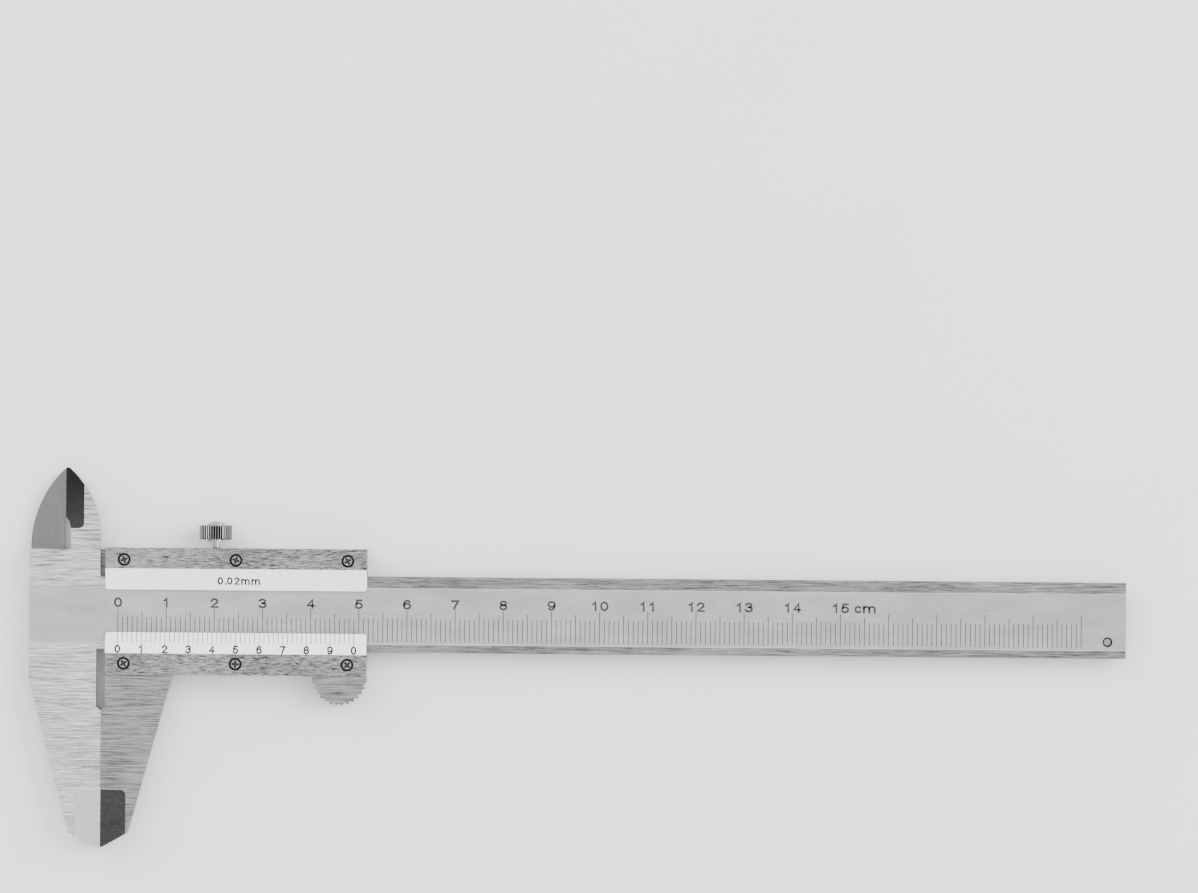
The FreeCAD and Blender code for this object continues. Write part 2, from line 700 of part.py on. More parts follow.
def lock_screw():
    """Knurled thumb screw that presses the gib strip onto the beam."""
    body = new_body("lock_screw")
    head, edge = "lock_head / 2", "lock_head_edge"
    crown = "(lock_dome_high - part_edge)"
    dome_radius = f"((lock_dome / 2) ^ 2 + {crown} ^ 2) / (2 * {crown})"
    profile = new_sketch(body, "profile")
    outline(profile, [
        ("0", "wall_foot + run_gap"),
        ("lock_size / 2 - part_edge", "wall_foot + run_gap"),
        ("lock_size / 2", "wall_foot + run_gap + part_edge"),
        ("lock_size / 2", "slider_top - part_edge"),
        ("lock_neck / 2", "slider_top + part_edge"),
        ("lock_neck / 2", "lock_collar_y"),
        ("lock_collar / 2", "lock_collar_y"),
        ("lock_collar / 2", "lock_head_y"),
        (f"{head} - {edge}", "lock_head_y"),
        (head, f"lock_head_y + {edge}"),
        (head, f"lock_head_top - {edge}"),
        (f"{head} - {edge}", "lock_head_top"),
        ("lock_dome / 2", "lock_head_top"),
        ("lock_dome / 2", "lock_head_top + part_edge", dome_radius, 1),
        ("0", "lock_head_top + lock_dome_high"),
    ])
    revolve(body, profile)
    groove = new_sketch(body, "knurl", SIDE, ("0", "0", "-lock_head_y"))
    outline(groove, [
        (f"{head} - knurl_deep", "0"),
        (f"{head} + knurl_deep / 2", "-knurl_half"),
        (f"{head} + knurl_deep / 2", "knurl_half"),
    ])
    cut = pocket(body, groove, "lock_head_top - lock_head_y")
    upright = [item for item in body.Origin.OriginFeatures if item.Role == "Y_Axis"][0]
    repeat_round(body, cut, (upright, [""]), "knurl_count")
    return place(body, "lock_x", "0", MID_LEVEL)


def gib_strip():
    """Flat strip between the upper wall and the beam."""
    body = new_body("gib_strip")
    sketch = new_sketch(body, "outline", at=("0", "0", f"{BEAM_BACK} + run_gap"))
    low = "beam_half + run_gap"
    outline(sketch, rectangle(
        "notch_reach + gib_end_gap", low, "slider_right - gib_end_gap", f"{low} + gib_thick",
    ))
    pad(body, sketch, "beam_thick - 2 * run_gap")
    return body


def gib_set_screw(number):
    """Slotted set screw sunk in the upper wall."""
    body = new_body(f"gib_set_screw_{number + 1}")
    foot = "beam_half + run_gap + gib_thick"
    profile = new_sketch(body, "profile")
    outline(profile, [
        ("0", foot),
        ("lock_size / 2 - 2 * part_edge", foot),
        ("lock_size / 2", f"{foot} + 2 * part_edge"),
        ("lock_size / 2", f"{foot} + gib_screw_long"),
        ("0", f"{foot} + gib_screw_long"),
    ])
    revolve(body, profile)
    slot = new_sketch(body, "slot", SIDE, ("0", "0", f"-({foot} + gib_screw_long)"))
    outline(slot, rectangle("-lock_size", "-slot_wide / 2", "lock_size", "slot_wide / 2"))
    pocket(body, slot, "slot_deep", reverse=True)
    return place(body, f"gib_screw_first + {number} * gib_screw_step", "0", MID_LEVEL)


def depth_rod():
    """Dovetail rod that rides in the beam's groove with the slider."""
    body = new_body("depth_rod")
    section = new_sketch(body, "section", END, ("0", "0", "rod_start"))
    outline(section, [
        ("-groove_mouth + run_gap", "back_thick"),
        ("groove_mouth - run_gap", "back_thick"),
        ("groove_mouth - run_gap", BEAM_BACK),
        ("groove_floor - 2 * run_gap", f"{BEAM_BACK} + groove_deep - 2 * run_gap"),
        ("-groove_floor + 2 * run_gap", f"{BEAM_BACK} + groove_deep - 2 * run_gap"),
        ("-groove_mouth + run_gap", BEAM_BACK),
    ])
    pad(body, section, "beam_end - rod_start")
    step = new_sketch(body, "tip_step", at=("0", "0", "back_thick"))
    outline(step, rectangle(
        "beam_end - rod_cut_long", "groove_floor - rod_cut_deep",
        "beam_end + over_cut", "groove_floor",
    ))
    pocket(body, step, "beam_thick", reverse=True)
    holes = new_sketch(body, "rivet_holes", at=("0", "0", "back_thick"))
    for number in range(2):
        circle(holes, f"rivet_first + {number} * rivet_step", "0", "rivet_size + 2 * hole_gap")
    pocket(body, holes, "beam_thick", reverse=True)
    return body


def depth_rod_rivet(number):
    """Countersunk rivet through the back plate and the rod."""
    body = new_body(f"depth_rod_rivet_{number + 1}")
    foot = "run_gap"
    profile = new_sketch(body, "profile", SIDE)
    outline(profile, [
        ("0", foot),
        ("rivet_head / 2", foot),
        ("rivet_size / 2", "rivet_sink"),
        ("rivet_size / 2", f"{BEAM_BACK} + groove_deep - 3 * run_gap"),
        ("0", f"{BEAM_BACK} + groove_deep - 3 * run_gap"),
    ])
    revolve(body, profile)
    return place(body, f"rivet_first + {number} * rivet_step", "0")


def stop_screw():
    """Screw near the beam's end: its head on the back stops the slider."""
    body = new_body("stop_screw")
    foot = f"{BEAM_BACK} - stop_head_high"
    end = f"{BEAM_FRONT} - stop_short"
    profile = new_sketch(body, "profile", SIDE)
    outline(profile, [
        ("0", foot),
        ("stop_head / 2 - part_edge", foot),
        ("stop_head / 2", f"{foot} + part_edge"),
        ("stop_head / 2", BEAM_BACK),
        ("lock_size / 2", BEAM_BACK),
        ("lock_size / 2", f"{end} - 2 * part_edge"),
        ("lock_size / 2 - 2 * part_edge", end),
        ("0", end),
    ])
    revolve(body, profile)
    slot = new_sketch(body, "slot", at=("0", "0", foot))
    outline(slot, rectangle("-stop_head", "-slot_wide / 2", "stop_head", "slot_wide / 2"))
    pocket(body, slot, "slot_deep", reverse=True)
    return place(body, "stop_x", "-stop_y", turn=STOP_TURN)


def build():
    """All sub-parts, in the order they are put together."""
    parts = [main_beam(), slider_frame(), gib_strip(), lock_screw(), depth_rod(), stop_screw()]
    parts += [gib_set_screw(number) for number in range(2)]
    parts += [depth_rod_rivet(number) for number in range(2)]
    parts += [
        cover_plate(
            "upper_cover_plate", "cover_low", "cover_bend", "slider_top", "upper_screw_y",
        ),
        cover_plate(
            "vernier_plate", "-vernier_top", "-vernier_bend", "-slider_low", "-lower_screw_y",
        ),
    ]
    for number in range(3):
        for row, level, first in (
            ("upper", "upper_screw_y", UPPER_TURN), ("lower", "-lower_screw_y", LOWER_TURN),
        ):
            name = f"{row}_plate_screw_{number + 1}"
            parts.append(plate_screw(name, number, level, first + TURN_STEP * number))
    return parts


def check(parts):
    """Stop on any failed object or bad shape."""
    doc.recompute()
    for item in doc.Objects:
        if {"Invalid", "Error"} & set(item.State):
            raise RuntimeError(f"{item.Name}: {item.State}")
    for body in parts:
        if body.Shape.isNull() or not body.Shape.isValid() or len(body.Shape.Solids) != 1:
            raise RuntimeError(f"{body.Label}: bad shape")


def export(parts):
    """One STEP file for each sub-part."""
    os.makedirs(PARTS_FOLDER, exist_ok=True)
    for body in parts:
        body.Shape.exportStep(os.path.join(PARTS_FOLDER, f"{body.Label}.step"))
        box = body.Shape.BoundBox
        print(
            f"{body.Label}: {box.XMin:.2f}..{box.XMax:.2f} {box.YMin:.2f}..{box.YMax:.2f} "
            f"{box.ZMin:.2f}..{box.ZMax:.2f}, {body.Shape.Volume:.1f} mm3"
        )


built = build()
check(built)
export(built)
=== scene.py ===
"""Looks of a 150 mm vernier caliper: ground and satin steel, graduations, light and camera."""

import logging
import math
from dataclasses import dataclass, field
from enum import Enum
from typing import Callable

import bmesh
import bpy
from mathutils import Matrix, Vector


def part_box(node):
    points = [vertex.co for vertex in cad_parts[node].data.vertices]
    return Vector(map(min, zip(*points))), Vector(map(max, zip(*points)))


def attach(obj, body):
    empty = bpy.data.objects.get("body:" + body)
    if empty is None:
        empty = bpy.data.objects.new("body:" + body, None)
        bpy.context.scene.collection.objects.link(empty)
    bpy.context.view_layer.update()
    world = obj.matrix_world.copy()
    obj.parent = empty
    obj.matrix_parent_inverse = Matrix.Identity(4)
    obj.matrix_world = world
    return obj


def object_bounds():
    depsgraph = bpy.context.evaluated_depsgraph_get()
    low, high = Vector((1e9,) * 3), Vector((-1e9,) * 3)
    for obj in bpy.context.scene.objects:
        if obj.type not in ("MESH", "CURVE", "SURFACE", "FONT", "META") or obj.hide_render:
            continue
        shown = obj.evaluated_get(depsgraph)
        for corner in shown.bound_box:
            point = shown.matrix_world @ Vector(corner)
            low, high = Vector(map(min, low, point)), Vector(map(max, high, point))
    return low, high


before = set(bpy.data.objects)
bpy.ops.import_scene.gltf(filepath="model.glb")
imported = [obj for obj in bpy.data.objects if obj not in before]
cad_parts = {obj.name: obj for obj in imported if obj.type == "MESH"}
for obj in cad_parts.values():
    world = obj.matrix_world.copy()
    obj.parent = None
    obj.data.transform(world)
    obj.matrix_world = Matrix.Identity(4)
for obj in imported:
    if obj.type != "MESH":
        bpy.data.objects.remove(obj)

logging.basicConfig(level=logging.INFO, format="%(message)s")
log = logging.getLogger("caliper")

CAD_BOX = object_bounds()

MM = 0.001
PLATE_START = 0.86  # from the jaws' contact plane to the cover plate's near end, in millimetres
WHITE = (1.0, 1.0, 1.0)
MIDDLE = 0.5  # of a noise, and of a piece's own box

Socket = bpy.types.NodeSocket
Tint = tuple[float, float, float]


class Run(Enum):
    """Direction in which a ground surface was brushed."""

    ALONG_BEAM = (1.0, 0.0, 0.0)
    ACROSS_BEAM = (0.0, 1.0, 0.0)


# ------------------------------------------------------------------------------ shader graph


@dataclass(frozen=True)
class Fade:
    """Slow change of brightness along axis 0, 1 or 2, in millimetres of the shared frame."""

    axis: int
    start: float
    end: float
    factor: float


class Graph:
    """A material under construction, with short calls for the nodes that the finishes share."""

    def __init__(self, name: str) -> None:
        """Start an empty material.

        Args:
            name: name of the material.
        """
        self.material = bpy.data.materials.new(name)
        self.material.use_nodes = True
        self.tree = self.material.node_tree
        self.tree.nodes.clear()

    def node(self, kind: str, inputs: dict | None = None, **settings: object) -> bpy.types.Node:
        """Add a node.

        Args:
            kind: node type without its ShaderNode prefix.
            inputs: value or socket for each named or numbered input.
            settings: plain properties of the node.

        Returns:
            The new node.
        """
        made = self.tree.nodes.new(f"ShaderNode{kind}")
        for key, value in settings.items():
            setattr(made, key, value)
        for key, value in (inputs or {}).items():
            if isinstance(value, bpy.types.NodeSocket):
                self.tree.links.new(value, made.inputs[key])
            else:
                made.inputs[key].default_value = value
        return made

    def math(self, operation: str, first: float | Socket, second: float | Socket = 0.0) -> Socket:
        """Result of one math operation on two values."""
        return self.node("Math", {0: first, 1: second}, operation=operation).outputs[0]

    def place(self, along: float, across: float | None = None, turn: float = 0.0) -> Socket:
        """Place on the piece, turned about z and scaled to the size of a grain.

        Args:
            along: grains per millimetre in the direction of brushing.
            across: grains per millimetre across it, the same as along if left out.
            turn: angle of the brushing in radians.

        Returns:
            Vector socket.
        """
        where = self.node("TexCoord").outputs["Object"]
        turned = self.node("VectorRotate", {"Vector": where, "Angle": turn}, rotation_type="Z_AXIS")
        side = along if across is None else across
        scale = (along / MM, side / MM, side / MM)
        return self.node("Mapping", {"Vector": turned.outputs[0], "Scale": scale}).outputs[0]

    def noise(self, where: Socket, detail: float = 2.0, rough: float = 0.5) -> Socket:
        """Noise between 0 and 1.

        Args:
            where: place at which it is read.
            detail: number of finer layers.
            rough: strength of each finer layer.

        Returns:
            Value socket.
        """
        settings = {"Vector": where, "Scale": 1.0, "Detail": detail, "Roughness": rough}
        return self.node("TexNoise", settings).outputs[0]

    def blend(self, *layers: tuple[Socket, float]) -> Socket:
        """Weighted sum of values.

        Args:
            layers: each value with its share.

        Returns:
            Value socket.
        """
        parts = [self.math("MULTIPLY", value, share) for value, share in layers]
        total = parts[0]
        for part in parts[1:]:
            total = self.math("ADD", total, part)
        return total

    def spread(self, value: Socket, low: float, high: float, swing: float = 0.2) -> Socket:
        """Map noise, which keeps near its middle, onto low to high.

        Args:
            value: noise.
            low: result at the bottom of the swing.
            high: result at the top of the swing.
            swing: distance from the middle at which low and high are reached.

        Returns:
            Value socket.
        """
        ends = {"From Min": MIDDLE - swing, "From Max": MIDDLE + swing, "To Min": low, "To Max": high}
        return self.node("MapRange", {"Value": value, **ends}).outputs[0]

    def around(self, value: Socket, middle: float, part: float) -> Socket:
        """Vary a number with noise, by a part of itself each way."""
        return self.spread(value, middle * (1 - part), middle * (1 + part))

    def shade(
        self,
        value: Socket,
        brightness: float,
        contrast: float,
        swing: float = 0.2,
        fade: Fade | None = None,
    ) -> Socket:
        """Brightness that varies with noise.

        Args:
            value: noise.
            brightness: the middle.
            contrast: largest change, as a part of the middle.
            swing: distance from the noise's middle at which that change is reached.
            fade: slow change on top of it.

        Returns:
            Value socket.
        """
        varied = self.spread(value, 1 - contrast, 1 + contrast, swing)
        shade = self.math("MULTIPLY", varied, brightness)
        return self.math("MULTIPLY", shade, self.fade(fade)) if fade else shade

    def fade(self, change: Fade) -> Socket:
        """Slow change of brightness along one axis of the frame.

        Args:
            change: where it starts and ends, and its factor at the end.

        Returns:
            Factor socket, which is 1 up to the start.
        """
        where = self.node("TexCoord").outputs["Object"]
        along = self.node("SeparateXYZ", {0: where}).outputs[change.axis]
        ends = {"From Min": change.start * MM, "From Max": change.end * MM, "To Max": change.factor}
        return self.node("MapRange", {"Value": along, "To Min": 1.0, **ends}).outputs[0]

    def grey(self, value: Socket, tint: Tint) -> Socket:
        """Colour made of a tint times a brightness."""
        return self.node("VectorMath", {0: tint, 3: value}, operation="SCALE").outputs[0]

    def bump(self, height: Socket, depth: float) -> Socket:
        """Normal of a surface with relief.

        Args:
            height: relief between 0 and 1.
            depth: full depth of the relief in millimetres.

        Returns:
            Normal socket.
        """
        return self.node("Bump", {"Height": height, "Distance": depth * MM}).outputs[0]

    def finish(self, inputs: dict) -> bpy.types.Material:
        """Join a principled shader to the output.

        Args:
            inputs: value or socket of each of the shader's inputs that isn't left at its default.

        Returns:
            The finished material.
        """
        shader = self.node("BsdfPrincipled", inputs)
        self.node("OutputMaterial", {"Surface": shader.outputs[0]})
        return self.material


# ---------------------------------------------------------------------------------- finishes


# Layers of a ground surface besides its streaks, as grains along and across the brushing: broad
# and nick in multiples of the streaks' own number, cloud and drift per millimetre.
BROAD = (0.5, 0.3)
NICK = (5.0, 1.6)
CLOUD = (0.07, 0.12)
DRIFT = (0.16, 0.45)

# Share of each layer in the whole.
STREAK_SHARE = 0.48
BROAD_SHARE = 0.2
NICK_SHARE = 0.2
CLOUD_SHARE = 0.12
RING_SHARE = 0.6
SPECK_SHARE = 0.4
SATIN_SHARE = 0.5

# Number of finer layers in a noise, and their strength.
STREAK_DETAIL = 1.5
STREAK_ROUGH = 0.6
CLOUD_DETAIL = 3.0
DRIFT_DETAIL = 1.0
INK_DETAIL = 4.0
FINE_ROUGH = 0.7

# Clouds of a satin surface and specks of a turned one, per millimetre.
SATIN_CLOUD = (0.08, 0.25)
SPECKS = 6.0

ANISOTROPY = 0.45  # of a ground surface
GROUND_ROUGH_SWING = 0.15
SATIN_ROUGH_SWING = 0.1
TURNED_ROUGH_SWING = 0.2


@dataclass(frozen=True)
class GroundSteel:
    """Surface ground or brushed one way, with streaks, fine scratches and faint stains."""

    name: str
    brightness: float
    contrast: float = 0.10
    roughness: float = 0.34
    run: Run = Run.ALONG_BEAM
    streak_long: float = 3.6
    streak_wide: float = 0.125
    wave: float = 0.0
    relief: float = 0.004
    swing: float = 0.09
    fade: Fade | None = None
    tint: Tint = (1.0, 1.0, 0.985)

    def make(self) -> bpy.types.Material:
        """Build the material.

        Returns:
            The material.
        """
        graph = Graph(self.name)
        turn = 0.0 if self.run is Run.ALONG_BEAM else math.pi / 2
        along, across = 1 / self.streak_long, 1 / self.streak_wide
        base = graph.place(along, across, turn)
        if self.wave:
            base = self.wander(graph, base, turn)
        streak = graph.noise(base, STREAK_DETAIL, STREAK_ROUGH)
        broad = graph.noise(graph.place(along * BROAD[0], across * BROAD[1], turn))
        nick = graph.noise(graph.place(along * NICK[0], across * NICK[1], turn))
        cloud = graph.noise(graph.place(*CLOUD, turn), CLOUD_DETAIL)
        mixed = graph.blend(
            (streak, STREAK_SHARE), (broad, BROAD_SHARE), (nick, NICK_SHARE), (cloud, CLOUD_SHARE)
        )
        shade = graph.shade(mixed, self.brightness, self.contrast, self.swing, self.fade)
        return graph.finish({
            "Base Color": graph.grey(shade, self.tint),
            "Roughness": graph.around(streak, self.roughness, GROUND_ROUGH_SWING),
            "Normal": graph.bump(mixed, self.relief),
            "Tangent": graph.node("CombineXYZ", dict(enumerate(self.run.value))).outputs[0],
            "Metallic": 1.0,
            "Anisotropic": ANISOTROPY,
        })

    def wander(self, graph: Graph, base: Socket, turn: float) -> Socket:
        """Let the streaks drift sideways.

        Args:
            graph: the material under construction.
            base: place at which the streaks are read.
            turn: angle of the brushing in radians.

        Returns:
            The shifted place.
        """
        drift = graph.noise(graph.place(*DRIFT, turn), DRIFT_DETAIL)
        centred = graph.math("SUBTRACT", drift, MIDDLE)
        lift = graph.math("MULTIPLY", centred, self.wave / self.streak_wide)
        shift = graph.node("CombineXYZ", {"Y": lift}).outputs[0]
        return graph.node("VectorMath", {0: base, 1: shift}, operation="ADD").outputs[0]


@dataclass(frozen=True)
class SatinSteel:
    """Satin surface: even, matt, with a very fine grain.

    The grain is as wide as grain says, in millimetres, and drawn times as long along the beam.
    """

    name: str
    brightness: float
    roughness: float = 0.5
    metallic: float = 0.9
    grain: float = 0.09
    drawn: float = 1.0
    contrast: float = 0.02
    relief: float = 0.003
    fade: Fade | None = None
    tint: Tint = (1.0, 1.0, 0.99)

    def make(self) -> bpy.types.Material:
        """Build the material.

        Returns:
            The material.
        """
        graph = Graph(self.name)
        grains = 1 / self.grain
        fine = graph.noise(graph.place(grains / self.drawn, grains), rough=FINE_ROUGH)
        cloud = graph.noise(graph.place(*SATIN_CLOUD), CLOUD_DETAIL)
        mixed = graph.blend((fine, SATIN_SHARE), (cloud, SATIN_SHARE))
        shade = graph.shade(mixed, self.brightness, self.contrast, fade=self.fade)
        return graph.finish({
            "Base Color": graph.grey(shade, self.tint),
            "Roughness": graph.around(fine, self.roughness, SATIN_ROUGH_SWING),
            "Normal": graph.bump(fine, self.relief),
            "Metallic": self.metallic,
        })


@dataclass(frozen=True)
class TurnedSteel:
    """Small turned piece: fine rings round its own axis."""

    name: str
    brightness: float
    roughness: float
    rings: float = 26.0
    axis: str = "Z"
    contrast: float = 0.16
    relief: float = 0.004
    tint: Tint = (1.0, 0.995, 0.98)

    def make(self) -> bpy.types.Material:
        """Build the material.

        Returns:
            The material.
        """
        graph = Graph(self.name)
        ring = graph.noise(self.radius(graph), CLOUD_DETAIL, FINE_ROUGH)
        speck = graph.noise(graph.place(SPECKS))
        mixed = graph.blend((ring, RING_SHARE), (speck, SPECK_SHARE))
        shade = graph.shade(mixed, self.brightness, self.contrast)
        return graph.finish({
            "Base Color": graph.grey(shade, self.tint),
            "Roughness": graph.around(speck, self.roughness, TURNED_ROUGH_SWING),
            "Normal": graph.bump(ring, self.relief),
            "Metallic": 1.0,
        })

    def radius(self, graph: Graph) -> Socket:
        """Number of rings between a point and the piece's axis.

        Args:
            graph: the material under construction.

        Returns:
            Vector socket with that number as its x.
        """
        own = graph.node("TexCoord").outputs["Generated"]
        middle = (MIDDLE, MIDDLE, MIDDLE)
        centred = graph.node("VectorMath", {0: own, 1: middle}, operation="SUBTRACT").outputs[0]
        flat = {"Z": (1, 1, 0), "Y": (1, 0, 1)}[self.axis]
        across = graph.node("VectorMath", {0: centred, 1: flat}, operation="MULTIPLY").outputs[0]
        radius = graph.node("VectorMath", {0: across}, operation="LENGTH").outputs["Value"]
        return graph.node("CombineXYZ", {"X": graph.math("MULTIPLY", radius, self.rings)}).outputs[0]


@dataclass(frozen=True)
class ScaleInk:
    """Dark filling of the engraved marks, a little uneven."""

    name: str
    brightness: float
    patches: float = 1.3
    shades: tuple[float, float] = (0.8, 1.25)
    roughness: tuple[float, float] = (0.5, 0.7)
    relief: float = 0.003
    gloss: float = 0.12

    def make(self) -> bpy.types.Material:
        """Build the material.

        Returns:
            The material.
        """
        graph = Graph(self.name)
        patch = graph.noise(graph.place(self.patches), INK_DETAIL, FINE_ROUGH)
        shade = graph.math("MULTIPLY", graph.spread(patch, *self.shades), self.brightness)
        return graph.finish({
            "Base Color": graph.grey(shade, WHITE),
            "Roughness": graph.spread(patch, *self.roughness),
            "Normal": graph.bump(patch, self.relief),
            "Specular IOR Level": self.gloss,
        })


@dataclass(frozen=True)
class StudioFloor:
    """Pale matt floor with the faint mottling of painted board."""

    name: str
    brightness: float
    patches: float = 0.02
    contrast: float = 0.015
    roughness: float = 0.9

    def make(self) -> bpy.types.Material:
        """Build the material.

        Returns:
            The material.
        """
        graph = Graph(self.name)
        cloud = graph.noise(graph.place(self.patches), CLOUD_DETAIL)
        shade = graph.shade(cloud, self.brightness, self.contrast)
        return graph.finish({"Base Color": graph.grey(shade, WHITE), "Roughness": self.roughness})


BEAM_GROUND = GroundSteel(
    "beam_ground",
    0.54,
    contrast=0.80,
    streak_long=4.2,
    streak_wide=0.06,
    fade=Fade(0, -98.0, -50.0, 0.40),
)
BEAM_SATIN = SatinSteel(
    "beam_satin", 0.42, grain=0.12, drawn=14.0, contrast=0.22, fade=Fade(0, -98.0, 100.0, 0.88)
)
# Painted highlight: bright finish for the sloped sides of the scale band, standing in for the light line
# along the band's edges; brighter from x -98 mm to -50 mm.
BAND_EDGE_HIGHLIGHT = GroundSteel("band_edge_painted_highlight", 0.78, contrast=0.12, fade=Fade(0, -98.0, -50.0, 1.3))
SLIDER_GROUND = GroundSteel(
    "slider_ground", 0.262, contrast=0.74, streak_long=4.2, streak_wide=0.062
)
INNER_JAW_GROUND = GroundSteel(
    "inner_jaw_ground", 0.185, contrast=0.10, run=Run.ACROSS_BEAM, streak_long=5.0
)
# Painted highlight: bright copy of the ground finish for bevels that lean towards the beam's free end, as
# if they faced the light.
BEVEL_HIGHLIGHT = GroundSteel("bevel_painted_highlight", 0.56, contrast=0.07, roughness=0.25)
# Painted shade: dark copy of the ground finish for the slider's bevels that lean towards the fixed end,
# as if turned from the light.
BEVEL_SHADE = GroundSteel("bevel_painted_shade", 0.054, contrast=0.30, roughness=0.3)
# Painted shade: dark copy of the ground finish for the fixed inner jaw's bevel, which leans towards the
# fixed end, as if turned from the light; fading darker from y 27 mm to 37 mm.
INNER_BEVEL_SHADE = GroundSteel(
    "inner_bevel_painted_shade", 0.050, contrast=0.2, roughness=0.3, fade=Fade(1, 27.0, 37.0, 0.40)
)
PLATE_STRIP = GroundSteel(
    "plate_strip", 0.255, contrast=0.88, streak_long=1.6, streak_wide=0.12, wave=1.5
)
PLATE_SATIN = SatinSteel("plate_satin", 0.98, metallic=0.0, roughness=0.55)
PLAIN_GROUND = GroundSteel("plain_ground", 0.42, contrast=0.35)
# Painted shade: near-black matt finish in the screws' cross recesses and in the counterbores round their
# heads, where shade falls.
RECESS_SHADE = SatinSteel("painted_recess_shade", 0.008, metallic=0.0, roughness=0.5, contrast=0.3)
SCREW_STEEL = TurnedSteel("screw_steel", 0.30, 0.28, contrast=0.34)
NICKEL = TurnedSteel("bright_nickel", 0.34, 0.19, axis="Y", contrast=0.10)
# Painted shade: near-black finish on the flanks of the lock screw's knurl grooves, standing in for shade
# and dark reflections there.
KNURL_GROOVE_SHADE = TurnedSteel("knurl_groove_painted_shade", 0.028, 0.25, axis="Y", contrast=0.2)
BEAM_INK = ScaleInk("beam_ink", 0.045)
PLATE_INK = ScaleInk("plate_ink", 0.018)
FLOOR = StudioFloor("studio_floor", 0.90)


# ------------------------------------------------------------------------------------- marks


Point = tuple[float, float]
Stroke = tuple[Point, ...]

LOOP_GAP = 0.05  # a stroke closes if its ends are nearer than this part of its width
MITRE_LIMIT = 0.5  # cosine below which a sharp corner is cut short


def bow(middle: Point, half: Point, start: float, end: float, count: int = 18) -> Stroke:
    """Part of an ellipse.

    Args:
        middle: its centre.
        half: its half width and half height.
        start: first direction in degrees.
        end: last direction in degrees.
        count: number of steps.

    Returns:
        Points from start to end.
    """
    turns = (math.radians(start + (end - start) * step / count) for step in range(count + 1))
    return tuple((middle[0] + half[0] * math.cos(t), middle[1] + half[1] * math.sin(t)) for t in turns)


SIX: tuple[Stroke, ...] = (
    bow((0.5, 0.32), (0.5, 0.32), 0, 360, 28),
    bow((0.53, 0.5), (0.53, 0.5), 48, 188),
)

# Width of each figure as a share of a digit's, and its strokes in a box one wide and one high.
GLYPHS: dict[str, tuple[float, tuple[Stroke, ...]]] = {
    "0": (1.0, (bow((0.5, 0.5), (0.5, 0.5), 0, 360, 32),)),
    "1": (1.0, (((0.2, 0.76), (0.4, 0.83), (0.58, 1.0), (0.58, 0.0)),)),
    "2": (1.0, (bow((0.5, 0.71), (0.47, 0.29), 172, -32) + ((0.03, 0.0), (1.0, 0.0)),)),
    "3": (
        1.0,
        (
            bow((0.48, 0.765), (0.44, 0.235), 160, -90),
            bow((0.48, 0.265), (0.52, 0.265), 90, -162),
        ),
    ),
    "4": (1.0, (((0.76, 0.0), (0.76, 1.0), (0.0, 0.28), (1.0, 0.28)),)),
    "5": (1.0, (((0.92, 1.0), (0.2, 1.0), (0.1, 0.5)), bow((0.48, 0.32), (0.5, 0.32), 140, -160))),
    "6": (1.0, SIX),
    "7": (1.0, (((0.0, 1.0), (1.0, 1.0), (0.64, 0.56), (0.44, 0.24), (0.36, 0.0)),)),
    "8": (
        1.0,
        (
            bow((0.5, 0.77), (0.43, 0.23), 0, 360, 26),
            bow((0.5, 0.27), (0.5, 0.27), 0, 360, 28),
        ),
    ),
    "9": (1.0, tuple(tuple((1 - x, 1 - y) for x, y in stroke) for stroke in SIX)),
    ".": (0.16, (((0.5, 0.0), (0.5, 0.02)),)),
    "c": (0.9, (bow((0.5, 0.36), (0.5, 0.36), 42, 318),)),
    "m": (
        1.55,
        (
            ((0.0, 0.0), (0.0, 0.74)),
            bow((0.25, 0.46), (0.25, 0.26), 180, 0, 10) + ((0.5, 0.0),),
            bow((0.75, 0.46), (0.25, 0.26), 180, 0, 10) + ((1.0, 0.0),),
        ),
    ),
}


@dataclass(frozen=True)
class Lettering:
    """Height, width, line width and spacing of a row of figures, in millimetres."""

    high: float
    wide: float
    line: float
    gap: float


